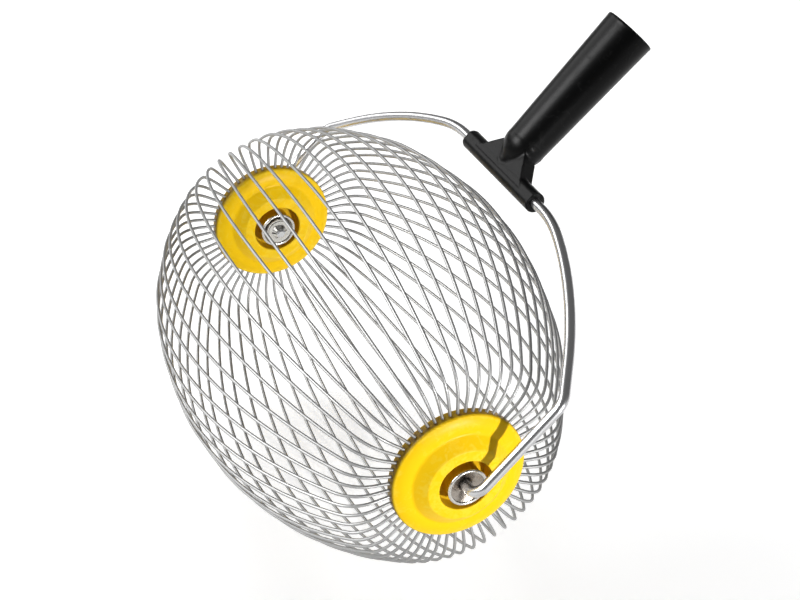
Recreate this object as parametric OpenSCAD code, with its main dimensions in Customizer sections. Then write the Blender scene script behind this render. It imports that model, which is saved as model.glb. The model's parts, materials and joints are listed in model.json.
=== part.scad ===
// Rolling nut gatherer: a barrel of sprung wires between two hubs, turning in a rod bail with a pole socket.
// The axle lies along Y, the pole leans towards +X, and the floor under the cage is at Z = 0.

/* [Cage] */
// Number of wires round the cage
wire_count = 56; // [40:4:64]
// Diameter of the wire
wire_d = 1.8; // [1.2:0.1:1.8]
// Radius of the cage at its middle, to the wire's centre
cage_r = 107.5; // [90:0.5:115]
// Distance from the cage's middle to the plane of the end spokes
cage_half = 142.5; // [130:0.5:145]
// Radius of the bow that the wire makes from end to end
bow_r = 230; // [200:1:260]
// Bend radius where the bow turns into the end spoke
shoulder_r = 22; // [12:1:26]

/* [Hubs] */
// Radius of the hub discs
disc_r = 38; // [36:0.5:40]
// Thickness of one disc at its rim
rim_t = 4.2; // [3.6:0.1:4.6]
// Height of the disc's centre boss above the plane of the spokes
boss_h = 12.6; // [11.5:0.1:13.5]
// Radius of the centre boss
boss_r = 10.2; // [9:0.1:11]
// Radius of the well round the centre boss
well_r = 15; // [14:0.1:15.5]
// Radius where the inner land turns down to the outer band
step_r = 20.4; // [20:0.1:21]
// Running clearance between the axle and the bush, on the radius
axle_gap = 0.06; // [0.02:0.01:0.1]

/* [Bail] */
// Diameter of the bail rod
rod_d = 6; // [5:0.5:6.5]
// Distance from the axle to the middle of the cross bar
reach = 127.8; // [124:0.1:135]
// Distance from the middle to each leg
leg_y = 165.5; // [164:0.5:172]
// Angle of the bail above the floor
tilt = 43.2; // [30:0.1:60]

/* [Pole socket] */
// Distance from the axle to the mouth of the socket
mouth_t = 235; // [228:1:250]
// Radius of the mouth, outside
mouth_r = 15.8; // [15.5:0.1:17]
// Radius of the tube's foot, outside
foot_r = 12.4; // [12:0.1:13]
// Diameter of the bore for the pole
pole_d = 22.4; // [20:0.1:22.6]
// Depth of the bore, from its lead-in
pole_depth = 60; // [40:1:60]
// Length of the cross bar
bar_len = 83; // [75:1:90]
// Diameter of the cross bar
bar_d = 12; // [11:0.1:13]

/* [Hidden] */
$fn = 96;
eps = 0.01;

// Hubs: +1 is the left hub at +Y, -1 the right hub at -Y
ENDS = [["left", 1], ["right", -1]];

// Bent bars are straight runs and ring arcs that stop just short of each other, closed by a ball
bar_inset = 0.02;
ball_proud = 1.015;

// Wires: opposite wires share a node
pair_count = wire_count / 2;
wire_r = wire_d / 2;
bow_x = cage_r - bow_r;
shoulder_x = bow_x + sqrt(pow(bow_r - shoulder_r, 2) - pow(cage_half - shoulder_r, 2));
bow_deg = atan2(cage_half - shoulder_r, shoulder_x - bow_x);
bow_end = [bow_x, 0] + bow_r * [cos(bow_deg), sin(bow_deg)];
hook_r = 30.2;
hook_bend_r = 1.5;
hook_x = hook_r + hook_bend_r;

// Wire seats in the discs
seat_gap = 0.03;
seat_in_r = 28;
hook_room = 0.3;
hook_groove = [hook_r - wire_r - hook_room, hook_x + hook_room];
hook_groove_h = hook_bend_r + 2 * hook_room;

// Disc form, as radius and height above the plane of the spokes
rim_round = 2;
rim_round_deg = 62;
band_h = 6;
band_crown_r = 15.5;
band_back_h = 3.6;
slope_deg = 42;
step_h = 12;
step_round = 2;
step_fillet = 3;
lip_h = 12.4;
lip_round = 0.8;
lip_flat = 0.6;
well_floor_h = 3.2;
wall_t = 2.2;
slope_run = (step_h - band_h - (step_round + step_fillet) * (1 - cos(slope_deg))) / tan(slope_deg);
band_r = step_r + (step_round + step_fillet) * sin(slope_deg) + slope_run;

// Bush
bush_bore_r = rod_d / 2 + axle_gap;
bush_r = 4.8;
bush_seat_gap = 0.05;
bush_seat_r = bush_r + bush_seat_gap;
flange_t = 1;
bead_r = 1;
cup_h = boss_h + flange_t;
dish = 2.4;
countersink = 1.2;

// Pieces on the axle end, as heights above the plane of the spokes, towards the cage's middle
end_gap = 0.4;
washer_t = 1.2;
washer_r = 8;
washer_h = cup_h + end_gap;
nut_h = washer_h + washer_t;
nut_r = 7;
nut_t = 0.6;
tooth_base_r = 4.7;
tooth_rise = 2;
tooth_count = 6;
tooth_slot = 1.1;
axle_end_h = nut_h + tooth_rise + 2.8;
axle_chamfer = 0.8;

// Bail bends: a short bend beside the cross bar, the long bow, the knee and the turn into the axle end
rod_r = rod_d / 2;
bar_half = 48.5;
near_r = 80;
near_deg = 18.5;
far_r = 222;
far_deg = 41.2;
knee_r = 12;
axle_turn_r = 8;
near_c = [reach - near_r, bar_half];
near_end = near_c + near_r * [cos(near_deg), sin(near_deg)];
far_c = near_end - far_r * [cos(near_deg), sin(near_deg)];
far_end = far_c + far_r * [cos(far_deg), sin(far_deg)];
slope_len = (leg_y - knee_r + knee_r * sin(far_deg) - far_end[1]) / cos(far_deg);
slope_end = far_end + slope_len * [-sin(far_deg), cos(far_deg)];
knee_c = slope_end - knee_r * [cos(far_deg), sin(far_deg)];
leg_top = [knee_c[0], leg_y];
leg_foot = [axle_turn_r, leg_y];
axle_start = [0, leg_y - axle_turn_r];
axle_len = axle_start[1] - (cage_half - axle_end_h);

// Socket
socket_foot_t = reach + 15;
chin_t = reach + 3;
chin_r = 4.2;
lip_r = 2;
lead_in = 3;
lead_in_flare = 1.2;
bore_mouth_t = mouth_t - lead_in;
bore_stop_t = bore_mouth_t - pole_depth;
core_r = 9.8;
core_draft = 0.4;
core_end_t = socket_foot_t + 6;
web_t = 8.8;
web_foot_y = 23;
web_foot_t = reach + 5;
web_top_t = socket_foot_t + 0.5;
web_top_y = foot_r - 0.4;
bar_chamfer = 1.2;
rod_hole_gap = 0.02;

// The box's middle and its floor, from the cage's centre
cage_out_r = cage_r + wire_r;
mouth_x = (mouth_t - lip_r) * cos(tilt) + (mouth_r - lip_r) * sin(tilt) + lip_r;
centre = [-(mouth_x - cage_out_r) / 2, 0, cage_out_r];

// Points along a round stretch of an outline
function arc(c, r, a0, a1, steps) =
    [for (i = [0:steps]) c + r * [cos(a0 + (a1 - a0) * i / steps), sin(a0 + (a1 - a0) * i / steps)]];

// Points along a crowned stretch from p to q, bulging to the left of the way from q to p
function crowned(p, q, r, steps) =
    let (
        run = q - p,
        sink = sqrt(r * r - run * run / 4),
        c = (p + q) / 2 + sink * [run[1], -run[0]] / norm(run),
        a0 = atan2(p[1] - c[1], p[0] - c[0]),
        a1 = atan2(q[1] - c[1], q[0] - c[0]))
    arc(c, r, a0, a1, steps);

function wire_node(i) = str("cage_wires_", i < 10 ? "0" : "", i);

// Ring arc of round bar about Z, from angle a0 to a1
module bent_bar(bend_r, bar_r, a0, a1) {
    inset_deg = bar_inset * 180 / PI / bend_r;
    rotate([0, 0, a0 + inset_deg])
        rotate_extrude(angle = a1 - a0 - 2 * inset_deg)
            translate([bend_r, 0])
                circle(r = bar_r);
}

// Straight round bar in the XY plane between two points
module straight_bar(from, to, bar_r) {
    run = to - from;
    translate([from[0], from[1], 0])
        rotate([0, 0, atan2(run[1], run[0])])
            translate([bar_inset, 0, 0])
                rotate([0, 90, 0])
                    cylinder(r = bar_r, h = norm(run) - 2 * bar_inset);
}

// Ball where two bars meet, with its poles along the bar
module bar_ball(at, bar_deg, bar_r) {
    translate([at[0], at[1], 0])
        rotate([0, 90, bar_deg])
            sphere(r = bar_r * ball_proud);
}

// From the bail's own frame, X towards the pole and Y along the axle, to the part's frame
module in_bail() {
    translate(centre)
        rotate([0, -tilt, 0])
            children();
}

// From a hub's own frame, Z away from the cage's middle and Z = 0 in the plane of the spokes
module at_end(side) {
    translate(centre + [0, side * cage_half, 0])
        rotate([-90 * side, 0, 0])
            children();
}

// The same with Z towards the cage's middle
module inside_end(side) {
    at_end(side)
        mirror([0, 0, 1])
            children();
}

// Hook, spoke and shoulder at one end of a wire, X outwards and Y along the axle
module wire_end() {
    translate([hook_x, cage_half + hook_bend_r, 0])
        bent_bar(hook_bend_r, wire_r, 180, 270);
    bar_ball([hook_x, cage_half], 0, wire_r);
    straight_bar([hook_x, cage_half], [shoulder_x, cage_half], wire_r);
    bar_ball([shoulder_x, cage_half], 0, wire_r);
    translate([shoulder_x, cage_half - shoulder_r, 0])
        bent_bar(shoulder_r, wire_r, bow_deg, 90);
    bar_ball(bow_end, bow_deg + 90, wire_r);
}

module wire() {
    wire_end();
    mirror([0, 1, 0])
        wire_end();
    translate([bow_x, 0, 0])
        bent_bar(bow_r, wire_r, -bow_deg, bow_deg);
}

// Two wires on opposite sides of the axle
module cage_wires(i) {
    color("silver")
        translate(centre)
            for (turn = [0, 180])
                rotate([0, 90 + turn + (i - 1) * 360 / wire_count, 0])
                    wire();
}

// Half section of a disc: dished boss, well, lip, inner land, soft slope, crowned outer band and rim over a hollow
module disc_section() {
    step_c = [step_r, step_h - step_round];
    foot_c = [band_r, band_h + step_fillet];
    rim_c = [disc_r - rim_round, rim_t - rim_round];
    rim_top = rim_c + rim_round * [cos(rim_round_deg), sin(rim_round_deg)];
    polygon(concat(
        [[bush_seat_r, 0], [bush_seat_r, boss_h - dish], [boss_r, boss_h]],
        [[boss_r, well_floor_h], [well_r, well_floor_h]],
        arc([well_r + lip_round, lip_h - lip_round], lip_round, 180, 90, 5),
        [[well_r + lip_round + lip_flat, lip_h]],
        arc(step_c, step_round, 90, 90 - slope_deg, 5),
        arc(foot_c, step_fillet, 270 - slope_deg, 270, 5),
        crowned([band_r + eps, band_h], rim_top, band_crown_r, 10),
        arc(rim_c, rim_round, rim_round_deg - 1, 0, 6),
        [[disc_r, 0]],
        [[hook_groove[1], 0], [hook_groove[1], hook_groove_h]],
        [[hook_groove[0], hook_groove_h], [hook_groove[0], 0]],
        [[seat_in_r, 0], [seat_in_r, band_back_h], [band_r - wall_t, band_back_h]],
        [[step_r - wall_t / 2, step_h - wall_t], [well_r + wall_t, step_h - wall_t]],
        [[well_r + wall_t, well_floor_h - wall_t], [boss_r + wall_t, well_floor_h - wall_t]],
        [[boss_r + wall_t, 0]]));
}

// Half of a hub, with a half-round seat for each wire in its back
module disc() {
    color("gold")
        difference() {
            rotate_extrude()
                disc_section();
            for (i = [0:wire_count - 1])
                rotate([0, 90, i * 360 / wire_count])
                    translate([0, 0, seat_in_r - 1])
                        cylinder(r = wire_r + seat_gap, h = disc_r - seat_in_r + 2, $fn = 24);
        }
}

module outer_disc(side) {
    at_end(side)
        disc();
}

module inner_disc(side) {
    inside_end(side)
        disc();
}

// Steel tube through a hub, opened out at both ends into a cupped flange with a rolled edge
module hub_bush(side) {
    bead_c = [boss_r, boss_h + bead_r];
    inner = [
        [bush_bore_r, cup_h - dish - countersink],
        [bush_bore_r + countersink, cup_h - dish]];
    bead = arc(bead_c, bead_r, 180, -90, 18);
    half = concat(inner, bead, [[bush_r, boss_h - dish]]);
    flipped = [for (i = [len(half) - 1:-1:0]) [half[i][0], -half[i][1]]];
    color("lightgray")
        at_end(side)
            rotate_extrude()
                polygon(concat(half, flipped));
}

module inner_washer(side) {
    color("lightgray")
        inside_end(side)
            translate([0, 0, washer_h])
                difference() {
                    cylinder(r = washer_r, h = washer_t);
                    translate([0, 0, -eps])
                        cylinder(r = rod_r + rod_hole_gap, h = washer_t + 2 * eps);
                }
}

// Flat ring whose inner edge is cut into teeth that rise and bite on the axle end
module push_nut(side) {
    color("lightgray")
        inside_end(side)
            difference() {
                rotate_extrude()
                    polygon([
                        [tooth_base_r - 0.2, nut_h],
                        [nut_r, nut_h],
                        [nut_r, nut_h + nut_t],
                        [tooth_base_r, nut_h + nut_t],
                        [rod_r, nut_h + nut_t + tooth_rise],
                        [rod_r, nut_h + tooth_rise]]);
                for (i = [0:tooth_count - 1])
                    rotate([0, 0, i * 360 / tooth_count])
                        translate([rod_r - 1, -tooth_slot / 2, nut_h - eps])
                            cube([tooth_base_r - rod_r + 1.4, tooth_slot, tooth_rise + 2 * nut_t]);
            }
}

// One side of the bail, from the end of the cross bar to the axle end
module half_bail() {
    bar_ball([reach, bar_half], 90, rod_r);
    translate(near_c)
        bent_bar(near_r, rod_r, 0, near_deg);
    bar_ball(near_end, near_deg + 90, rod_r);
    translate(far_c)
        bent_bar(far_r, rod_r, near_deg, far_deg);
    bar_ball(far_end, far_deg + 90, rod_r);
    straight_bar(far_end, slope_end, rod_r);
    bar_ball(slope_end, far_deg + 90, rod_r);
    translate(knee_c)
        bent_bar(knee_r, rod_r, far_deg, 90);
    bar_ball(leg_top, 0, rod_r);
    straight_bar(leg_top, leg_foot, rod_r);
    bar_ball(leg_foot, 0, rod_r);
    translate([axle_turn_r, axle_start[1], 0])
        bent_bar(axle_turn_r, rod_r, 90, 180);
    bar_ball(axle_start, 90, rod_r);
    translate([0, axle_start[1], 0])
        rotate([90, 0, 0])
            rotate_extrude()
                polygon([
                    [0, bar_inset],
                    [rod_r, bar_inset],
                    [rod_r, axle_len - axle_chamfer],
                    [rod_r - axle_chamfer, axle_len],
                    [0, axle_len]]);
}

module bail_rod() {
    color("silver")
        in_bail() {
            straight_bar([reach, -bar_half], [reach, bar_half], rod_r);
            half_bail();
            mirror([0, 1, 0])
                half_bail();
        }
}

// Half section of the tube: chin, taper, round lip, lead-in, bore and moulded core
module tube_section() {
    polygon(concat(
        [[0, chin_t], [chin_r, chin_t], [foot_r, socket_foot_t]],
        arc([mouth_r - lip_r, mouth_t - lip_r], lip_r, 0, 90, 6),
        [[pole_d / 2 + lead_in_flare, mouth_t], [pole_d / 2, bore_mouth_t]],
        [[pole_d / 2, bore_stop_t], [core_r, bore_stop_t]],
        [[core_r - core_draft, core_end_t], [0, core_end_t]]));
}

// Flat gusset between the cross bar and the foot of the tube
module gusset() {
    difference() {
        translate([0, 0, -web_t / 2])
            linear_extrude(web_t)
                polygon([
                    [reach, -web_foot_y],
                    [web_foot_t, -web_foot_y],
                    [web_top_t, -web_top_y],
                    [web_top_t, web_top_y],
                    [web_foot_t, web_foot_y],
                    [reach, web_foot_y]]);
        translate([core_end_t, 0, 0])
            rotate([0, 90, 0])
                cylinder(r = core_r, h = mouth_t - core_end_t);
    }
}

// Round bar flattened front and back to the gusset's thickness
module cross_bar() {
    translate([reach, 0, 0])
        intersection() {
            rotate([90, 0, 0])
                rotate_extrude()
                    polygon([
                        [0, -bar_len / 2],
                        [bar_d / 2 - bar_chamfer, -bar_len / 2],
                        [bar_d / 2, -bar_len / 2 + bar_chamfer],
                        [bar_d / 2, bar_len / 2 - bar_chamfer],
                        [bar_d / 2 - bar_chamfer, bar_len / 2],
                        [0, bar_len / 2]]);
            cube([bar_d + 2, bar_len + 2, web_t], center = true);
        }
}

// Tube, chin, gusset and cross bar in one moulding
module pole_socket() {
    color([0.08, 0.08, 0.08])
        in_bail()
            difference() {
                union() {
                    rotate([0, 90, 0])
                        rotate_extrude()
                            tube_section();
                    gusset();
                    cross_bar();
                }
                translate([reach, 0, 0])
                    rotate([90, 0, 0])
                        cylinder(r = rod_r + rod_hole_gap, h = bar_len + 2, center = true);
            }
}

pole_socket();
bail_rod();
for (e = ENDS) {
    inner_washer(e[1]);
    push_nut(e[1]);
    hub_bush(e[1]);
    outer_disc(e[1]);
    inner_disc(e[1]);
}
for (i = [1:pair_count]) {
    cage_wires(i);
}
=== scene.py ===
import json
import math

import bpy
import numpy as np
from mathutils import Matrix


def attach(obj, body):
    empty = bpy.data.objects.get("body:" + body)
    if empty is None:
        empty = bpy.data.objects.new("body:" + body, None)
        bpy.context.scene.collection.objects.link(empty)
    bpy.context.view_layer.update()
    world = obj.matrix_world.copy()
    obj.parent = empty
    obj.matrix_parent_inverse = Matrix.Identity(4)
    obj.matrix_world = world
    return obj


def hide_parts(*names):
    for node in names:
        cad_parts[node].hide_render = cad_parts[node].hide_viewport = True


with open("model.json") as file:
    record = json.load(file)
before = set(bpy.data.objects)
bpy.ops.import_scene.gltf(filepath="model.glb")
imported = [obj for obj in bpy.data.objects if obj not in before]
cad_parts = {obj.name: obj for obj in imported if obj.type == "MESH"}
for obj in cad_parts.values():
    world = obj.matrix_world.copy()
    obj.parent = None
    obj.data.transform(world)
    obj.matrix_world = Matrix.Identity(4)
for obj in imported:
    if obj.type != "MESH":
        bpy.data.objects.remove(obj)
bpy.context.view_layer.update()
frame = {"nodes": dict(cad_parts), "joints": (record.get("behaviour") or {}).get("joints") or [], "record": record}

# The lines that everything hangs on: the axle runs along Y through the cage's centre, and the bail lies in a
# plane through it that leans back with the pole. Sizes below are in millimetres in that plane: t towards the
# pole, s along the axle, n out of the bail's face.
spin = frame["joints"][0]
cage_centre = np.array(spin["pos_m"], float)
axle_dir = np.array(spin["axis"], float)
pole_dir = np.array(frame["record"]["mounts"][0]["axis"], float)
face_dir = np.cross(pole_dir, axle_dir)
MM = 0.001


def in_bail(tsn):
    """Points (t, s, n) in millimetres to places in metres: centre + t pole + s axle + n face."""
    return cage_centre + MM * (tsn @ np.stack([pole_dir, axle_dir, face_dir]))


# Bail rod: one length of bright zinc-plated steel rod, bent cold in one plane to a bow, two knees, two legs
# and two inturned axle ends, with a small chamfer where it was cut.
ROD_R = 3.0
REACH = 127.8
BAR_HALF = 48.5
LEG_S = 165.5
NEAR_R, NEAR_DEG = 80.0, 18.5
FAR_R, FAR_DEG = 222.0, 41.2
KNEE_R = 12.0
AXLE_TURN_R = 8.0
AXLE_END_S = 122.5
ROD_CHAMFER = 0.8
ROD_SIDES = 32


def arc(centre, radius, start_deg, end_deg, steps):
    """Points on a circle, centre + radius (cos a, sin a), for a in even steps from start to end."""
    a = np.radians(np.linspace(start_deg, end_deg, steps + 1))
    return np.asarray(centre, float) + radius * np.stack([np.cos(a), np.sin(a)], -1)


def polar(radius, deg):
    """One point on a circle about the origin."""
    return radius * np.array([math.cos(math.radians(deg)), math.sin(math.radians(deg))])


def grid_faces(rows, columns, wrap_rows=False, wrap_columns=True):
    """Quads of a grid of points, row by row, closed on itself along either way that wraps."""
    i, j = np.meshgrid(np.arange(rows if wrap_rows else rows - 1),
                       np.arange(columns if wrap_columns else columns - 1), indexing="ij")
    i2, j2 = (i + 1) % rows, (j + 1) % columns
    corners = [i * columns + j, i * columns + j2, i2 * columns + j2, i2 * columns + j]
    return np.stack(corners, -1).reshape(-1, 4)


def bar_surface(path, radius, across, sides):
    """Round bar along a path: point(u, v) = path(u) + radius(u) (cos v side(u) + sin v across),
    where side is square to the path and to across. Returns points, quads and the two end caps."""
    along = np.gradient(path, axis=0)
    along /= np.linalg.norm(along, axis=1, keepdims=True)
    side = np.cross(along, across)
    side /= np.linalg.norm(side, axis=1, keepdims=True)
    up = np.cross(side, along)
    v = np.linspace(0, 2 * np.pi, sides, endpoint=False)[None, :, None]
    ring = np.cos(v) * side[:, None, :] + np.sin(v) * up[:, None, :]
    points = (path[:, None, :] + np.broadcast_to(radius, len(path))[:, None, None] * ring).reshape(-1, 3)
    last = (len(path) - 1) * sides
    caps = [list(range(sides))[::-1], list(range(last, last + sides))]
    return points, grid_faces(len(path), sides)[:, ::-1], caps


def bar_uv(path, sides):
    """UV of each corner of a bar's quads: metres along the path, and the share of a turn round it."""
    run = np.concatenate([[0], np.cumsum(np.linalg.norm(np.diff(path, axis=0), axis=1))])
    i, j = np.meshgrid(np.arange(len(path) - 1), np.arange(sides), indexing="ij")
    u = np.stack([run[i + 1], run[i + 1], run[i], run[i]], -1)
    v = np.stack([j, j + 1, j + 1, j], -1) / sides
    return np.stack([u, v], -1).reshape(-1, 2)


def new_piece(name, points, faces, material, body, nodes, uv=None, sharp_deg=40):
    """A mesh at its place in the frame, smooth but for edges over sharp_deg, that stands for CAD nodes."""
    mesh = bpy.data.meshes.new(name)
    mesh.from_pydata(np.asarray(points).tolist(), [], [list(map(int, f)) for f in faces])
    mesh.shade_smooth()
    mesh.set_sharp_from_angle(angle=math.radians(sharp_deg))
    if uv is not None:
        layer = mesh.uv_layers.new(name="UVMap")
        whole = np.zeros((len(mesh.loops), 2), np.float32)
        whole[:len(uv)] = uv
        layer.data.foreach_set("uv", whole.ravel())
    mesh.materials.append(material)
    piece = bpy.data.objects.new(name, mesh)
    bpy.context.scene.collection.objects.link(piece)
    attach(piece, body)
    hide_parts(*nodes)
    return piece


def new_group(name, inputs, outputs):
    """An empty shader node group with a Vector input and the named values, and its input and output nodes."""
    tree = bpy.data.node_groups.new(name, "ShaderNodeTree")
    tree.interface.new_socket(name="Vector", in_out="INPUT", socket_type="NodeSocketVector")
    for way, labels in (("INPUT", inputs), ("OUTPUT", outputs)):
        for label in labels:
            tree.interface.new_socket(name=label, in_out=way, socket_type="NodeSocketFloat")
    return tree, tree.nodes.new("NodeGroupInput"), tree.nodes.new("NodeGroupOutput")


def add(tree, kind, settings=None, **inputs):
    """A node with its settings. Inputs, by name or as i0, i1 by number, are set to a value or linked."""
    node = tree.nodes.new(kind)
    for key, value in (settings or {}).items():
        setattr(node, key, value)
    for key, value in inputs.items():
        socket = node.inputs[int(key[1:])] if key[0] == "i" and key[1:].isdigit() else node.inputs[key]
        if isinstance(value, bpy.types.NodeSocket):
            tree.links.new(value, socket)
        else:
            socket.default_value = value
    return node


def new_material(name):
    """A node material with one Principled shader. Returns it, its tree and the shader."""
    material = bpy.data.materials.new(name)
    material.use_nodes = True
    tree = material.node_tree
    return material, tree, tree.nodes["Principled BSDF"]


# Drawn bar: fine lines along the length from the die, and longer dull stretches, both from the bar's UV map.
# Noise mostly stays between NOISE_LOW and NOISE_HIGH, so roughness is spread over that span.
NOISE_LOW, NOISE_HIGH = 0.3, 0.7
DULL_SCALE, LINE_BUMP = 0.17, 0.35
drawn_lines, given, made = new_group("drawn_lines", ["Lines", "Length"], ["Lines", "Dull"])
stretch = add(drawn_lines, "ShaderNodeCombineXYZ", X=given.outputs["Length"], Y=given.outputs["Lines"], Z=1.0)
pulled = add(drawn_lines, "ShaderNodeVectorMath", {"operation": "MULTIPLY"}, i0=given.outputs["Vector"],
             i1=stretch.outputs[0])
fine = add(drawn_lines, "ShaderNodeTexNoise", Vector=pulled.outputs[0], Scale=1.0, Detail=3.0)
broad = add(drawn_lines, "ShaderNodeTexNoise", Vector=pulled.outputs[0], Scale=DULL_SCALE, Detail=2.0)
drawn_lines.links.new(fine.outputs["Fac"], made.inputs["Lines"])
drawn_lines.links.new(broad.outputs["Fac"], made.inputs["Dull"])


def mix_colours(tree, share, first, second):
    """A node that goes from the first colour to the second as share goes from 0 to 1."""
    return add(tree, "ShaderNodeMix", {"data_type": "RGBA"}, Factor=share, i6=first, i7=second)


def map_noise(tree, noise, low, high):
    """A node that goes from low to high over the span that noise mostly covers."""
    return add(tree, "ShaderNodeMapRange", Value=noise, i1=NOISE_LOW, i2=NOISE_HIGH, i3=low, i4=high)


def drawn_steel(name, dark, light, rough, lines, length, line_height):
    """Bare drawn steel: colour and roughness follow the dull stretches, and the lines raise a fine bump."""
    material, tree, shader = new_material(name)
    place = add(tree, "ShaderNodeTexCoord")
    marks = add(tree, "ShaderNodeGroup", {"node_tree": drawn_lines}, Vector=place.outputs["UV"], Lines=lines,
                Length=length)
    tone = mix_colours(tree, marks.outputs["Dull"], dark, light)
    gloss = map_noise(tree, marks.outputs["Dull"], rough[1], rough[0])
    bump = add(tree, "ShaderNodeBump", Height=marks.outputs["Lines"], Strength=LINE_BUMP,
               Distance=line_height)
    tree.links.new(tone.outputs[2], shader.inputs["Base Color"])
    tree.links.new(gloss.outputs["Result"], shader.inputs["Roughness"])
    tree.links.new(bump.outputs["Normal"], shader.inputs["Normal"])
    shader.inputs["Metallic"].default_value = 1.0
    return material


def bail_path():
    """Centre line of the rod: bar, two bows, slope, knee, leg, turn and axle end, with its mirror image."""
    near_c = np.array([REACH - NEAR_R, BAR_HALF])
    near_end = near_c + polar(NEAR_R, NEAR_DEG)
    far_c = near_end - polar(FAR_R, NEAR_DEG)
    far_end = far_c + polar(FAR_R, FAR_DEG)
    lean = math.radians(FAR_DEG)
    slope = (LEG_S - KNEE_R + KNEE_R * math.sin(lean) - far_end[1]) / math.cos(lean)
    slope_end = far_end + slope * np.array([-math.sin(lean), math.cos(lean)])
    knee_c = slope_end - polar(KNEE_R, FAR_DEG)
    turn_c = np.array([AXLE_TURN_R, LEG_S - AXLE_TURN_R])
    half = np.concatenate([
        np.linspace([REACH, 0], [REACH, BAR_HALF], 8)[:-1],
        arc(near_c, NEAR_R, 0, NEAR_DEG, 24)[:-1],
        arc(far_c, FAR_R, NEAR_DEG, FAR_DEG, 40)[:-1],
        np.linspace(far_end, slope_end, 8)[:-1],
        arc(knee_c, KNEE_R, FAR_DEG, 90, 20)[:-1],
        np.linspace([knee_c[0], LEG_S], [AXLE_TURN_R, LEG_S], 10)[:-1],
        arc(turn_c, AXLE_TURN_R, 90, 180, 24)[:-1],
        np.linspace([0, LEG_S - AXLE_TURN_R], [0, AXLE_END_S + ROD_CHAMFER], 10),
        [[0, AXLE_END_S]],
    ])
    other = half[:0:-1] * [1, -1]
    line = np.concatenate([other, half])
    return np.concatenate([line, np.zeros((len(line), 1))], 1)


rod_steel = drawn_steel("rod_steel", (0.50, 0.50, 0.51, 1), (0.68, 0.68, 0.685, 1), rough=(0.20, 0.32),
                        lines=60.0, length=9.0, line_height=2e-5)
rod_line = in_bail(bail_path())
rod_radius = np.full(len(rod_line), ROD_R * MM)
rod_radius[[0, -1]] = (ROD_R - ROD_CHAMFER) * MM
rod_points, rod_quads, rod_caps = bar_surface(rod_line, rod_radius, face_dir, ROD_SIDES)
new_piece("bail_bent_rod", rod_points, list(rod_quads) + rod_caps, rod_steel, "handle",
          ["bail_rod"], bar_uv(rod_line, ROD_SIDES))

# Pole socket: one black moulding on the middle of the rod, with a tapered tube for the pole, a pointed chin
# under it, a flat gusset and a flattened cross bar. Its inside corners are filleted and its edges eased.
MOUTH_T, MOUTH_R, LIP_R = 235.0, 15.8, 2.0
FOOT_T, FOOT_R = 142.8, 12.4
CHIN_T, CHIN_R, CHIN_ROUND = 130.8, 4.2, 4.0
BORE_R, BORE_MOUTH_T, BORE_STOP_T, LEAD_IN_FLARE = 11.2, 232.0, 172.0, 1.2
CORE_R, CORE_DRAFT, CORE_END_T = 9.8, 0.4, 148.8
BAR_LEN, BAR_R, PLATE_HALF = 83.0, 6.0, 5.2
GUSSET_FOOT = np.array([132.8, 23.0])
GUSSET_TOP = np.array([143.3, 12.0])
ROD_HOLE_R = 3.02
BAR_EDGE, GUSSET_EDGE, PLATE_FILLET, TUBE_FILLET, HOLLOW_EDGE = 1.0, 0.9, 1.2, 2.6, 0.5
SKIN_STEP, SKIN_MARGIN = 0.7, 2
SKIN_MOVES, SKIN_PROBE, LEAST_SLOPE = 6, 0.05, 0.05
EDGE_WEAR = 1.6


def soft_max(a, b, r):
    """The larger of two fields, with the edge where they meet rounded over about r."""
    h = np.clip(0.5 + 0.5 * (a - b) / r, 0, 1)
    return b + (a - b) * h + r * h * (1 - h) * 0.5


def soft_min(a, b, r):
    """The smaller of two fields, with the corner where they meet filled over about r."""
    return -soft_max(-a, -b, r)


def socket_field(p):
    """Below zero inside the moulding: tube, gusset and bar with soft corners, less the bore and the rod."""
    t, s, n = p[..., 0], np.abs(p[..., 1]), np.abs(p[..., 2])
    q = np.hypot(s, n)
    barrel = FOOT_R + (t - FOOT_T) * (MOUTH_R - FOOT_R) / (MOUTH_T - FOOT_T)
    chin = CHIN_R + (t - CHIN_T) * (FOOT_R - CHIN_R) / (FOOT_T - CHIN_T)
    tube = soft_max(q - soft_min(barrel, chin, CHIN_ROUND), t - MOUTH_T, LIP_R)
    tube = np.maximum(tube, CHIN_T - t)
    rod_q = np.hypot(t - REACH, n)
    bar = soft_max(soft_max(rod_q - BAR_R, n - PLATE_HALF, BAR_EDGE), s - BAR_LEN / 2, BAR_EDGE)
    run = GUSSET_TOP - GUSSET_FOOT
    out = np.array([-run[1], run[0]]) / np.linalg.norm(run)
    slant = (t - GUSSET_FOOT[0]) * out[0] + (s - GUSSET_FOOT[1]) * out[1]
    gusset = soft_max(soft_max(n - PLATE_HALF, slant, GUSSET_EDGE), REACH - t, GUSSET_EDGE)
    body = soft_min(soft_min(bar, gusset, PLATE_FILLET), tube, TUBE_FILLET)
    lead = np.interp(t, [BORE_MOUTH_T, MOUTH_T], [0, LEAD_IN_FLARE])
    bore = np.maximum(q - BORE_R - lead, BORE_STOP_T - t)
    core_r = np.interp(t, [CORE_END_T, BORE_STOP_T], [CORE_R - CORE_DRAFT, CORE_R])
    core = np.maximum(q - core_r, CORE_END_T - t)
    hollow = np.minimum(bore, core)
    return np.maximum(soft_max(body, -hollow, HOLLOW_EDGE), ROD_HOLE_R - rod_q)


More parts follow.
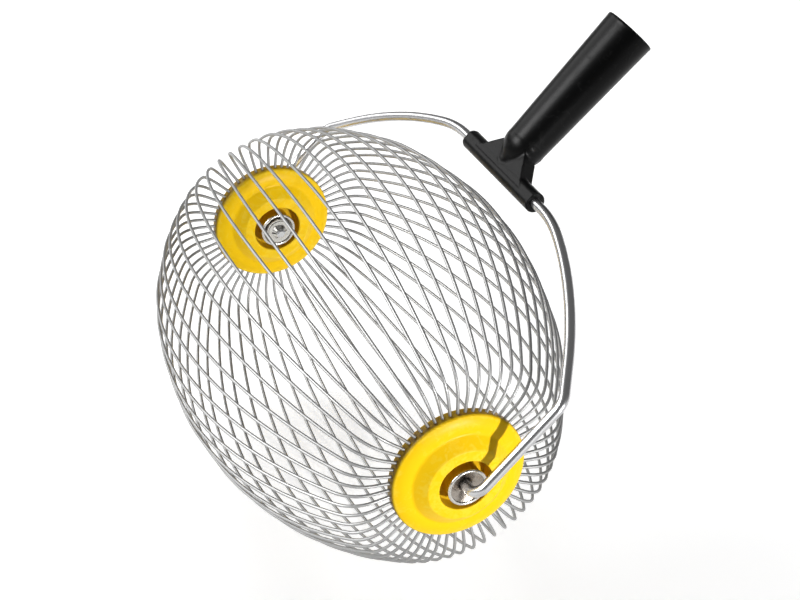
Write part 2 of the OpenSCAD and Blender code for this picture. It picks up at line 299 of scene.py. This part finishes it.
def skin(field, low, high, step):
    """Surface where a field is zero: one point in each grid cell that the surface crosses, moved on to it
    along the field's slope, and one quad across each grid edge whose ends lie on different sides."""
    axes = [np.arange(a, b + step, step) for a, b in zip(low, high)]
    grid = np.stack(np.meshgrid(*axes, indexing="ij"), -1)
    inside = field(grid) < 0
    cut = [slice(None, -1), slice(1, None)]
    corners = np.stack([inside[a, b, c] for a in cut for b in cut for c in cut])
    crossed = corners.any(0) & ~corners.all(0)
    number = np.full(crossed.shape, -1)
    number[crossed] = np.arange(crossed.sum())
    points = grid[:-1, :-1, :-1][crossed] + step / 2
    probe = SKIN_PROBE * step
    for _ in range(SKIN_MOVES):
        slope = np.stack([field(points + d) - field(points - d) for d in probe * np.eye(3)], -1) / (2 * probe)
        steepness = np.maximum((slope ** 2).sum(1, keepdims=True), LEAST_SLOPE)
        points = points - np.clip(field(points)[:, None] * slope / steepness, -step, step)
    quads = []
    for axis in range(3):
        ahead = np.moveaxis(inside, axis, 0)
        cells = np.moveaxis(number, axis, 0)
        a, b, c = np.nonzero(ahead[:-1, 1:-1, 1:-1] != ahead[1:, 1:-1, 1:-1])
        loop = [cells[a, b, c], cells[a, b + 1, c], cells[a, b + 1, c + 1], cells[a, b, c + 1]]
        loop = np.stack(loop, -1)
        leaving = ahead[a, b + 1, c + 1] == (axis != 1)
        quads.append(np.where(leaving[:, None], loop, loop[:, ::-1]))
    return points, np.concatenate(quads)


# Used skin: slow patches, a fine pebble from the mould and rubbed scuffs, on Object coordinates. Scuffs crowd
# together where the piece's wear attribute is high, and painted shade lies where the piece's shade attribute gives
# it a share, thinned a little in spots.
SCUFF_SCALE, SCUFF_FROM, SCUFF_FULL, WEAR_PUSH = 14.0, 0.56, 0.74, 0.18
THIN_FROM, THIN_FULL, THIN_SHADE = 0.3, 0.6, 0.75
used_skin, given, made = new_group("used_skin", ["Pebble", "Patch", "Soil", "Wear"],
                                   ["Pebble", "Patch", "Scuff", "Soil"])
pebble = add(used_skin, "ShaderNodeTexNoise", Vector=given.outputs["Vector"], Scale=given.outputs["Pebble"],
             Detail=4.0)
patch = add(used_skin, "ShaderNodeTexNoise", Vector=given.outputs["Vector"], Scale=given.outputs["Patch"],
            Detail=3.0, Roughness=0.6)
rubbed = add(used_skin, "ShaderNodeTexNoise", Vector=patch.outputs["Color"], Scale=SCUFF_SCALE, Detail=5.0)
worn = add(used_skin, "ShaderNodeMath", {"operation": "MULTIPLY_ADD"}, i0=given.outputs["Wear"], i1=WEAR_PUSH,
           i2=rubbed.outputs["Fac"])
scuff = add(used_skin, "ShaderNodeMapRange", Value=worn.outputs[0], i1=SCUFF_FROM, i2=SCUFF_FULL, i3=0.0,
            i4=1.0)
thin = add(used_skin, "ShaderNodeMapRange", Value=rubbed.outputs["Fac"], i1=THIN_FROM, i2=THIN_FULL, i3=1.0,
           i4=THIN_SHADE)
soil = add(used_skin, "ShaderNodeMath", {"operation": "MULTIPLY"}, i0=given.outputs["Soil"],
           i1=thin.outputs["Result"])
used_skin.links.new(soil.outputs[0], made.inputs["Soil"])
used_skin.links.new(pebble.outputs["Fac"], made.inputs["Pebble"])
used_skin.links.new(patch.outputs["Fac"], made.inputs["Patch"])
used_skin.links.new(scuff.outputs["Result"], made.inputs["Scuff"])
# Dark brown painted on as shade into the hub wells, low on the rim walls and in the bush cups.
PAINTED_SHADE_BROWN = (0.13, 0.062, 0.012, 1)
PLASTIC_PATCH, PLASTIC_BUMP, RUBBED_SHARE = 38.0, 0.3, 0.5


def moulded_plastic(name, deep, plain, rubbed_pale, rough, pebble_scale, pebble_height, scuff_share, shine):
    """Moulded plastic: two tones by patch, paler and duller where rubbed, darkened by painted shade where given,
    pebbled.
    """
    material, tree, shader = new_material(name)
    place = add(tree, "ShaderNodeTexCoord")
    shade_share = add(tree, "ShaderNodeAttribute", {"attribute_name": "soil"})
    edges = add(tree, "ShaderNodeAttribute", {"attribute_name": "wear"})
    marks = add(tree, "ShaderNodeGroup", {"node_tree": used_skin}, Vector=place.outputs["Object"],
                Pebble=pebble_scale, Patch=PLASTIC_PATCH, Soil=shade_share.outputs["Fac"],
                Wear=edges.outputs["Fac"])
    clean = mix_colours(tree, marks.outputs["Patch"], deep, plain)
    part_rubbed = add(tree, "ShaderNodeMath", {"operation": "MULTIPLY"}, i0=marks.outputs["Scuff"],
                      i1=RUBBED_SHARE)
    rubbed = mix_colours(tree, part_rubbed.outputs[0], clean.outputs[2], rubbed_pale)
    tone = mix_colours(tree, marks.outputs["Soil"], rubbed.outputs[2], PAINTED_SHADE_BROWN)
    rubbed_rough = add(tree, "ShaderNodeMath", {"operation": "MULTIPLY_ADD"}, i0=marks.outputs["Scuff"],
                       i1=scuff_share, i2=rough)
    bump = add(tree, "ShaderNodeBump", Height=marks.outputs["Pebble"], Strength=PLASTIC_BUMP,
               Distance=pebble_height)
    tree.links.new(tone.outputs[2], shader.inputs["Base Color"])
    tree.links.new(rubbed_rough.outputs[0], shader.inputs["Roughness"])
    tree.links.new(bump.outputs["Normal"], shader.inputs["Normal"])
    shader.inputs["Specular IOR Level"].default_value = shine
    return material


def set_share(piece, label, shares):
    """Give each point of a piece its share of wear or of painted shade, from 0 to 1."""
    layer = piece.data.attributes.new(label, "FLOAT", "POINT")
    layer.data.foreach_set("value", np.asarray(shares, np.float32))


socket_black = moulded_plastic("socket_black", (0.003, 0.003, 0.003, 1), (0.006, 0.006, 0.0065, 1),
                               (0.022, 0.022, 0.022, 1), rough=0.32, pebble_scale=900.0, pebble_height=4e-5,
                               scuff_share=0.14, shine=0.12)
skin_low = (REACH - BAR_R - SKIN_MARGIN, -BAR_LEN / 2 - SKIN_MARGIN, -MOUTH_R - SKIN_MARGIN)
skin_high = (MOUTH_T + SKIN_MARGIN, BAR_LEN / 2 + SKIN_MARGIN, MOUTH_R + SKIN_MARGIN)
socket_points, socket_quads = skin(socket_field, skin_low, skin_high, SKIN_STEP)
socket = new_piece("pole_socket_moulding", in_bail(socket_points), socket_quads, socket_black, "handle",
                   ["pole_socket"])
from_mouth = MOUTH_T - socket_points[:, 0]
from_bar_end = BAR_LEN / 2 - np.abs(socket_points[:, 1])
set_share(socket, "wear", np.exp(-(np.minimum(from_mouth, from_bar_end) / EDGE_WEAR) ** 2))

# Hub discs: two like yellow mouldings back to back at each end, stepped up from a crowned band to a lip round
# a well and a centre boss. Half-round seats in their backs grip the wires, and painted dark brown shade lies in
# the wells and low on the walls of the rims.
HUBS = (("left", 1), ("right", -1))
SPOKE_Y = 142.5
WIRE_COUNT, WIRE_R, SEAT_GAP = 56, 0.9, 0.03
HOOK_R, HOOK_BEND_R, HOOK_ROOM = 30.2, 1.5, 0.3
DISC_R, RIM_T, RIM_ROUND, RIM_ROUND_DEG = 38.0, 4.2, 2.0, 62.0
BAND_H, BAND_CROWN_R, BAND_BACK_H = 6.0, 15.5, 3.6
STEP_R, STEP_H, SLOPE_DEG, STEP_ROUND, STEP_FILLET = 20.4, 12.0, 42.0, 2.0, 3.0
WELL_R, WELL_FLOOR_H, LIP_H, LIP_ROUND, LIP_FLAT = 15.0, 3.2, 12.4, 0.8, 0.6
BOSS_R, BOSS_H, BUSH_SEAT_R, DISH = 10.2, 12.6, 4.85, 2.4
SEAT_IN_R, WALL_T = 28.0, 2.2
CORNER_R = 0.6
STEP_START_DEG, FILLET_END_DEG, SEAT_RING_H = 84.0, 269.0, 0.2
SEAT_COLUMNS = 12
DISC_COLUMNS = SEAT_COLUMNS * WIRE_COUNT
# How dark the painted shade is in the wells and on the low rim walls, and where it starts and fades.
WELL_SHADE, WELL_UNSHADED_H, WELL_FADE = 0.48, 0.3, 1.5
RIM_SHADE, RIM_SHADE_W, RIM_SHADE_H = 0.9, 1.2, 2.0
CREST_SPREAD = 1.5
HAIR = 0.1


def crowned(p, q, radius, steps):
    """Points from p to q on a circle of that radius that bulges away from the disc's back."""
    p, q = np.asarray(p, float), np.asarray(q, float)
    run = q - p
    sink = math.sqrt(radius ** 2 - run @ run / 4)
    centre = (p + q) / 2 + sink * np.array([run[1], -run[0]]) / np.linalg.norm(run)
    a0, a1 = (math.degrees(math.atan2(*(e - centre)[::-1])) for e in (p, q))
    return arc(centre, radius, a0, a1, steps)


def disc_profile():
    """Half section of a disc as (radius, height) from the boss's bore round the face to the rim and back."""
    slope = math.radians(SLOPE_DEG)
    both = STEP_ROUND + STEP_FILLET
    flat_drop = STEP_H - BAND_H - both * (1 - math.cos(slope))
    band_r = STEP_R + both * math.sin(slope) + flat_drop / math.tan(slope)
    rim_c = np.array([DISC_R - RIM_ROUND, RIM_T - RIM_ROUND])
    groove_in, groove_out = HOOK_R - WIRE_R - HOOK_ROOM, HOOK_R + HOOK_BEND_R + HOOK_ROOM
    groove_h = HOOK_BEND_R + 2 * HOOK_ROOM
    return np.concatenate([
        [[BUSH_SEAT_R, 0], [BUSH_SEAT_R, BOSS_H - DISH]],
        np.linspace([BOSS_R, BOSS_H], [BOSS_R, WELL_FLOOR_H + 2 * CORNER_R], 6),
        arc([BOSS_R + CORNER_R, WELL_FLOOR_H + CORNER_R], CORNER_R, 180, 270, 5),
        arc([WELL_R - CORNER_R, WELL_FLOOR_H + CORNER_R], CORNER_R, 270, 360, 5),
        np.linspace([WELL_R, WELL_FLOOR_H + 2 * CORNER_R], [WELL_R, LIP_H - 2 * LIP_ROUND], 6),
        arc([WELL_R + LIP_ROUND, LIP_H - LIP_ROUND], LIP_ROUND, 180, 90, 8),
        [[WELL_R + LIP_ROUND + LIP_FLAT, LIP_H]],
        arc([STEP_R, STEP_H - STEP_ROUND], STEP_ROUND, STEP_START_DEG, 90 - SLOPE_DEG, 7),
        arc([band_r, BAND_H + STEP_FILLET], STEP_FILLET, 270 - SLOPE_DEG, FILLET_END_DEG, 8),
        crowned([band_r, BAND_H], rim_c + polar(RIM_ROUND, RIM_ROUND_DEG), BAND_CROWN_R, 14)[1:],
        arc(rim_c, RIM_ROUND, RIM_ROUND_DEG, 0, 10)[1:],
        [[DISC_R, WIRE_R + SEAT_GAP + SEAT_RING_H], [DISC_R, 0]],
        [[DISC_R - 1, 0], [groove_out, 0], [groove_out, groove_h], [groove_in, groove_h], [groove_in, 0]],
        [[SEAT_IN_R, 0], [SEAT_IN_R, BAND_BACK_H], [band_r - WALL_T, BAND_BACK_H]],
        [[STEP_R - WALL_T / 2, STEP_H - WALL_T], [WELL_R + WALL_T, STEP_H - WALL_T]],
        [[WELL_R + WALL_T, WELL_FLOOR_H - WALL_T], [BOSS_R + WALL_T, WELL_FLOOR_H - WALL_T]],
        [[BOSS_R + WALL_T, 0]],
    ])


def disc_painted_shade(profile):
    """Share of painted shade on each point of the profile: most down in the well and low on the wall of the rim.
    """
    r, h = profile.T
    in_well = (r > BOSS_R - HAIR) & (r < WELL_R + LIP_ROUND)
    on_rim = r > DISC_R - RIM_SHADE_W
    well = np.clip((LIP_H - WELL_UNSHADED_H - h) / WELL_FADE, 0, WELL_SHADE)
    rim = np.clip(RIM_SHADE_H - h / 2, 0, RIM_SHADE)
    return np.where(in_well, well, np.where(on_rim, rim, 0))


def disc_wear(profile):
    """Share of wear on each point of the profile: exp(-d^2 / spread) at distance d from the nearest crest."""
    r, h = profile.T
    crests = [(WELL_R + LIP_ROUND, LIP_H), (STEP_R + STEP_ROUND / 2, STEP_H), (DISC_R - RIM_ROUND / 2, RIM_T)]
    return np.max([np.exp(-((r - r0) ** 2 + (h - h0) ** 2) / CREST_SPREAD) for r0, h0 in crests], axis=0)


def turned(radius, height, hub_side, out):
    """Radius and height over angle to places: a circle of that radius round the axle, off the spoke plane."""
    turn = np.linspace(0, 2 * np.pi, radius.shape[1], endpoint=False)[None, :]
    x, z = radius * np.cos(turn), radius * np.sin(turn)
    y = hub_side * (SPOKE_Y + out * height)
    return cage_centre + MM * np.stack([x, np.broadcast_to(y, x.shape), z], -1).reshape(-1, 3)


def disc_points(hub_side, out):
    """The profile turned about the axle, with its back lifted over each wire by sqrt(seat^2 - across^2)."""
    profile = disc_profile()
    turn = np.linspace(0, 2 * np.pi, DISC_COLUMNS, endpoint=False)
    pitch = 2 * np.pi / WIRE_COUNT
    off = (turn + pitch / 2) % pitch - pitch / 2
    radius = np.repeat(profile[:, :1], DISC_COLUMNS, 1)
    height = np.repeat(profile[:, 1:], DISC_COLUMNS, 1)
    seat = np.sqrt(np.maximum((WIRE_R + SEAT_GAP) ** 2 - (radius * np.sin(off)) ** 2, 0))
    on_back = (profile[:, 1] == 0) & (profile[:, 0] >= SEAT_IN_R)
    height[on_back] = seat[on_back]
    return turned(radius, height, hub_side, out), len(profile)


hub_yellow = moulded_plastic("hub_yellow", (0.94, 0.57, 0.004, 1), (0.97, 0.62, 0.005, 1),
                             (0.98, 0.71, 0.06, 1), rough=0.34, pebble_scale=1500.0, pebble_height=1.5e-5,
                             scuff_share=0.16, shine=0.10)
for hub, hub_side in HUBS:
    for half, out in (("outer", 1), ("inner", -1)):
        points, rows = disc_points(hub_side, out)
        quads = grid_faces(rows, DISC_COLUMNS, wrap_rows=True)
        if hub_side * out < 0:
            quads = quads[:, ::-1]
        disc = new_piece(f"hub_{half}_{hub}", points, quads, hub_yellow, "cage",
                         [f"{half}_disc_{hub}"], sharp_deg=35)
        # Painted shade, dark brown, down in the well and low on the rim's wall.
        set_share(disc, "soil", np.repeat(disc_painted_shade(disc_profile()), DISC_COLUMNS))
        set_share(disc, "wear", np.repeat(disc_wear(disc_profile()), DISC_COLUMNS))

# Hub bushes: zinc-plated steel tubes through the two discs of a hub, opened out at both ends into a shallow
# cup with a rolled edge that clamps the discs together. The axle end runs in the tube, and painted shade darkens
# the cups.
BUSH_BORE_R, BUSH_R = 3.06, 4.8
CUP_H, COUNTERSINK, BEAD_R = 13.6, 1.2, 1.0
BUSH_COLUMNS = 96
CUP_SHADE = 0.6
PLATING_PEBBLE, PLATING_PATCH, PLATING_BUMP, PLATING_HEIGHT = 1300.0, 160.0, 0.2, 2e-5


def pressed_steel(name, dark, light, rough):
    """Plated pressed steel: tone wanders in patches, gloss in a faint speckle, with painted dark brown shade where
    given.
    """
    material, tree, shader = new_material(name)
    place = add(tree, "ShaderNodeTexCoord")
    shade_share = add(tree, "ShaderNodeAttribute", {"attribute_name": "soil"})
    marks = add(tree, "ShaderNodeGroup", {"node_tree": used_skin}, Vector=place.outputs["Object"],
                Pebble=PLATING_PEBBLE, Patch=PLATING_PATCH, Soil=shade_share.outputs["Fac"])
    clean = mix_colours(tree, marks.outputs["Patch"], dark, light)
    tone = mix_colours(tree, marks.outputs["Soil"], clean.outputs[2], PAINTED_SHADE_BROWN)
    gloss = map_noise(tree, marks.outputs["Pebble"], rough[0], rough[1])
    bump = add(tree, "ShaderNodeBump", Height=marks.outputs["Pebble"], Strength=PLATING_BUMP,
               Distance=PLATING_HEIGHT)
    tree.links.new(tone.outputs[2], shader.inputs["Base Color"])
    tree.links.new(gloss.outputs["Result"], shader.inputs["Roughness"])
    tree.links.new(bump.outputs["Normal"], shader.inputs["Normal"])
    shader.inputs["Metallic"].default_value = 1.0
    return material


def bush_profile():
    """Half section: bore, countersink, cup floor, rolled edge and tube, then the same for the other end."""
    half = np.concatenate([
        [[BUSH_BORE_R, CUP_H - DISH - COUNTERSINK], [BUSH_BORE_R + COUNTERSINK, CUP_H - DISH]],
        arc([BOSS_R, BOSS_H + BEAD_R], BEAD_R, 180, -90, 24),
        [[BUSH_R, BOSS_H - DISH]],
    ])
    return np.concatenate([half, half[::-1] * [1, -1]])


fitting_steel = pressed_steel("fitting_steel", (0.50, 0.48, 0.44, 1), (0.72, 0.71, 0.68, 1),
                              rough=(0.18, 0.32))
for hub, hub_side in HUBS:
    profile = bush_profile()
    radius = np.repeat(profile[:, :1], BUSH_COLUMNS, 1)
    height = np.repeat(profile[:, 1:], BUSH_COLUMNS, 1)
    quads = grid_faces(len(profile), BUSH_COLUMNS, wrap_rows=True)
    if hub_side < 0:
        quads = quads[:, ::-1]
    bush = new_piece(f"bush_{hub}", turned(radius, height, hub_side, 1), quads, fitting_steel, "cage",
                     [f"hub_bush_{hub}"], sharp_deg=50)
    # Painted shade darkens the cup inside the rolled edge.
    in_cup = profile[:, 0] < BOSS_R - BEAD_R + HAIR
    set_share(bush, "soil", np.repeat(np.where(in_cup, CUP_SHADE, 0), BUSH_COLUMNS))

# Inner washers and push nuts: flat steel rings and toothed spring-steel rings, pushed on to each axle end
# inside the hub. Their CAD shapes are right, so they only take the plated finish.
for hub, _ in HUBS:
    for node in (f"inner_washer_{hub}", f"push_nut_{hub}"):
        solid = frame["nodes"][node]
        solid.data.materials.clear()
        solid.data.materials.append(fitting_steel)

# Cage wires: lengths of grey spring-steel wire, each bowed from hub to hub in a plane through the axle, with
# a tight shoulder, a straight spoke and a hook, held between the two discs. No two are bent quite alike.
CAGE_R, BOW_R, SHOULDER_R = 107.5, 230.0, 22.0
WIRE_SIDES = 12
RADIAL_STRAY, SIDE_STRAY, STRAY_SEED = 0.5, 0.7, 11
PAIR_UV_SHIFT, WIRE_UV_SHIFT = 1.7, 0.9


def wire_path():
    """Centre line as (out, along): hook, spoke, shoulder and bow of one wire, from right hub to left."""
    bow_x = CAGE_R - BOW_R
    shoulder_x = bow_x + math.sqrt((BOW_R - SHOULDER_R) ** 2 - (SPOKE_Y - SHOULDER_R) ** 2)
    bow_deg = math.degrees(math.atan2(SPOKE_Y - SHOULDER_R, shoulder_x - bow_x))
    hook_x = HOOK_R + HOOK_BEND_R
    half = np.concatenate([
        arc([bow_x, 0], BOW_R, 0, bow_deg, 36)[:-1],
        arc([shoulder_x, SPOKE_Y - SHOULDER_R], SHOULDER_R, bow_deg, 90, 16)[:-1],
        np.linspace([shoulder_x, SPOKE_Y], [hook_x, SPOKE_Y], 5)[:-1],
        arc([hook_x, SPOKE_Y + HOOK_BEND_R], HOOK_BEND_R, 270, 180, 8),
    ])
    return np.concatenate([half[:0:-1] * [1, -1], half])


wire_steel = drawn_steel("wire_steel", (0.31, 0.31, 0.31, 1), (0.465, 0.465, 0.46, 1), rough=(0.46, 0.62),
                         lines=16.0, length=14.0, line_height=1.5e-5)
stray = np.random.default_rng(STRAY_SEED)
wire_line = wire_path()
free = np.clip(1 - (wire_line[:, 1] / SPOKE_Y) ** 2, 0, 1)
swing = np.sin(np.pi * wire_line[:, 1] / SPOKE_Y)
for pair in range(WIRE_COUNT // 2):
    pair_points, pair_faces, pair_caps, pair_uv = [], [], [], []
    for half_turn in (0, 1):
        turn = np.pi * half_turn + 2 * np.pi * pair / WIRE_COUNT
        outward = np.array([-math.sin(turn), 0, -math.cos(turn)])
        sideways = np.cross(outward, axle_dir)
        lift, (lean, twist) = stray.normal(0, RADIAL_STRAY), stray.normal(0, SIDE_STRAY, 2)
        out = wire_line[:, 0] + lift * free
        across = free * (lean + twist * swing)
        bent = out[:, None] * outward + wire_line[:, 1:] * axle_dir + across[:, None] * sideways
        line = cage_centre + MM * bent
        points, quads, caps = bar_surface(line, WIRE_R * MM, sideways, WIRE_SIDES)
        start = half_turn * len(points)
        pair_points.append(points)
        pair_faces.append(quads + start)
        pair_caps += [[start + k for k in cap] for cap in caps]
        pair_uv.append(bar_uv(line, WIRE_SIDES) + [pair * PAIR_UV_SHIFT + half_turn * WIRE_UV_SHIFT, 0])
    faces = list(np.concatenate(pair_faces)) + pair_caps
    new_piece(f"sprung_pair_{pair + 1:02d}", np.concatenate(pair_points), faces, wire_steel, "cage",
              [f"cage_wires_{pair + 1:02d}"], np.concatenate(pair_uv))

# Floor: a wide pale sheet under the cage, which is the whole background. It shows as white to the camera and
# in the metal, and keeps a soft shadow.
FLOOR_HALF = 6.0
FLOOR_TONE, FLOOR_ROUGH, FLOOR_LIFT = 0.9, 0.9, 0.50
floor_corners = [(-1, -1), (1, -1), (1, 1), (-1, 1)]
floor_mesh = bpy.data.meshes.new("floor")
floor_mesh.from_pydata([(FLOOR_HALF * x, FLOOR_HALF * y, 0) for x, y in floor_corners], [], [(0, 1, 2, 3)])
floor = bpy.data.objects.new("floor", floor_mesh)
bpy.context.scene.collection.objects.link(floor)
pale, tree, shader = new_material("pale_floor")
shader.inputs["Base Color"].default_value = (FLOOR_TONE, FLOOR_TONE, FLOOR_TONE, 1)
shader.inputs["Roughness"].default_value = FLOOR_ROUGH
rays = add(tree, "ShaderNodeLightPath")
seen = add(tree, "ShaderNodeMath", {"operation": "ADD", "use_clamp": True}, i0=rays.outputs["Is Camera Ray"],
           i1=rays.outputs["Is Glossy Ray"])
seen_through = add(tree, "ShaderNodeMath", {"operation": "ADD", "use_clamp": True}, i0=seen.outputs[0],
                   i1=rays.outputs["Is Transmission Ray"])
lift = add(tree, "ShaderNodeMath", {"operation": "MULTIPLY"}, i0=seen_through.outputs[0], i1=FLOOR_LIFT)
white = add(tree, "ShaderNodeEmission", Color=(1, 1, 1, 1), Strength=lift.outputs[0])
blend = add(tree, "ShaderNodeAddShader", i0=shader.outputs[0], i1=white.outputs[0])
tree.links.new(blend.outputs[0], tree.nodes["Material Output"].inputs["Surface"])
floor_mesh.materials.append(pale)

# Light: a dim room, a small lamp at the front right, which throws the leg's shadow on the near hub, a panel
# and a strip at the left, seen only in reflections as pale stripes along the rod and the socket, and a wide
# lamp behind and overhead, whose light on the floor fills the hubs from below. Metres, watts and degrees.
ROOM = 0.16
KEY_FROM, KEY_FAR, KEY_POWER, KEY_R, KEY_CONE, KEY_EDGE = (0.27, -0.96, 0.08), 2.2, 178.0, 0.06, 7.8, 0.25
PANEL_FROM, PANEL_FAR, PANEL_POWER, PANEL_SIZE = (-0.74, 0.345, 0.575), 3.0, 90.0, (6.4, 1.4)
STRIP_FROM, STRIP_FAR, STRIP_POWER, STRIP_SIZE = (-0.770, 0.047, 0.635), 3.0, 90.0, (1.5, 1.4)
OVERHEAD_FROM, OVERHEAD_FAR, OVERHEAD_POWER, OVERHEAD_SIZE = (0.0, 0.75, 0.66), 2.5, 56.0, 2.0
world = bpy.data.worlds.new("room")
bpy.context.scene.world = world
world.use_nodes = True
world.node_tree.nodes["Background"].inputs["Color"].default_value = (1, 1, 1, 1)
world.node_tree.nodes["Background"].inputs["Strength"].default_value = ROOM


def new_lamp(name, kind, shine_from, far, power):
    """A lamp that far from the cage's centre, facing it: its own Z axis points away from the centre."""
    away = np.array(shine_from) / np.linalg.norm(shine_from)
    side = np.cross([0, 0, 1], away)
    side /= np.linalg.norm(side)
    top = np.cross(away, side)
    place = cage_centre + far * away
    light = bpy.data.lights.new(name, kind)
    light.energy = power
    lamp = bpy.data.objects.new(name, light)
    lamp.matrix_world = Matrix([[side[i], top[i], away[i], place[i]] for i in range(3)] + [[0, 0, 0, 1]])
    bpy.context.scene.collection.objects.link(lamp)
    return lamp


key = new_lamp("key", "SPOT", KEY_FROM, KEY_FAR, KEY_POWER).data
key.shadow_soft_size, key.spot_size, key.spot_blend = KEY_R, math.radians(KEY_CONE), KEY_EDGE
panel = new_lamp("panel", "AREA", PANEL_FROM, PANEL_FAR, PANEL_POWER)
panel.visible_diffuse = False
panel.data.shape, panel.data.size, panel.data.size_y = "RECTANGLE", *PANEL_SIZE
strip = new_lamp("strip", "AREA", STRIP_FROM, STRIP_FAR, STRIP_POWER)
strip.visible_diffuse = False
strip.data.shape, strip.data.size, strip.data.size_y = "RECTANGLE", *STRIP_SIZE
overhead = new_lamp("overhead", "AREA", OVERHEAD_FROM, OVERHEAD_FAR, OVERHEAD_POWER)
overhead.visible_glossy = False
overhead.data.size = OVERHEAD_SIZE

# View: the photograph's camera, found by fitting the hubs, the bail and the wires to it. It is placed by its
# depth in front of the cage's centre and by the pixel on which that centre falls.
IMAGE_W, IMAGE_H = 800, 600
VIEW_AZIMUTH, VIEW_ELEVATION = math.radians(-23.25), math.radians(32.64)
VIEW_DEPTH = 1.04547
FOCAL_PX = 1794.2
CENTRE_PX = (353.9, 332.8)
SENSOR_MM = 36.0
right = np.array([math.cos(VIEW_AZIMUTH), math.sin(VIEW_AZIMUTH), 0])
flat_back = np.array([math.sin(VIEW_AZIMUTH), -math.cos(VIEW_AZIMUTH), 0])
back = math.cos(VIEW_ELEVATION) * flat_back + math.sin(VIEW_ELEVATION) * np.array([0, 0, 1])
up = np.cross(back, right)
px_to_m = VIEW_DEPTH / FOCAL_PX
eye = (cage_centre + VIEW_DEPTH * back - px_to_m * (CENTRE_PX[0] - IMAGE_W / 2) * right
       + px_to_m * (CENTRE_PX[1] - IMAGE_H / 2) * up)
camera_data = bpy.data.cameras.new("photo_view")
camera_data.sensor_width = SENSOR_MM
camera_data.lens = FOCAL_PX * SENSOR_MM / IMAGE_W
camera = bpy.data.objects.new("photo_view", camera_data)
camera.matrix_world = Matrix([[right[i], up[i], back[i], eye[i]] for i in range(3)] + [[0, 0, 0, 1]])
bpy.context.scene.collection.objects.link(camera)
bpy.context.scene.camera = camera

bpy.context.scene.view_settings.view_transform = "Standard"
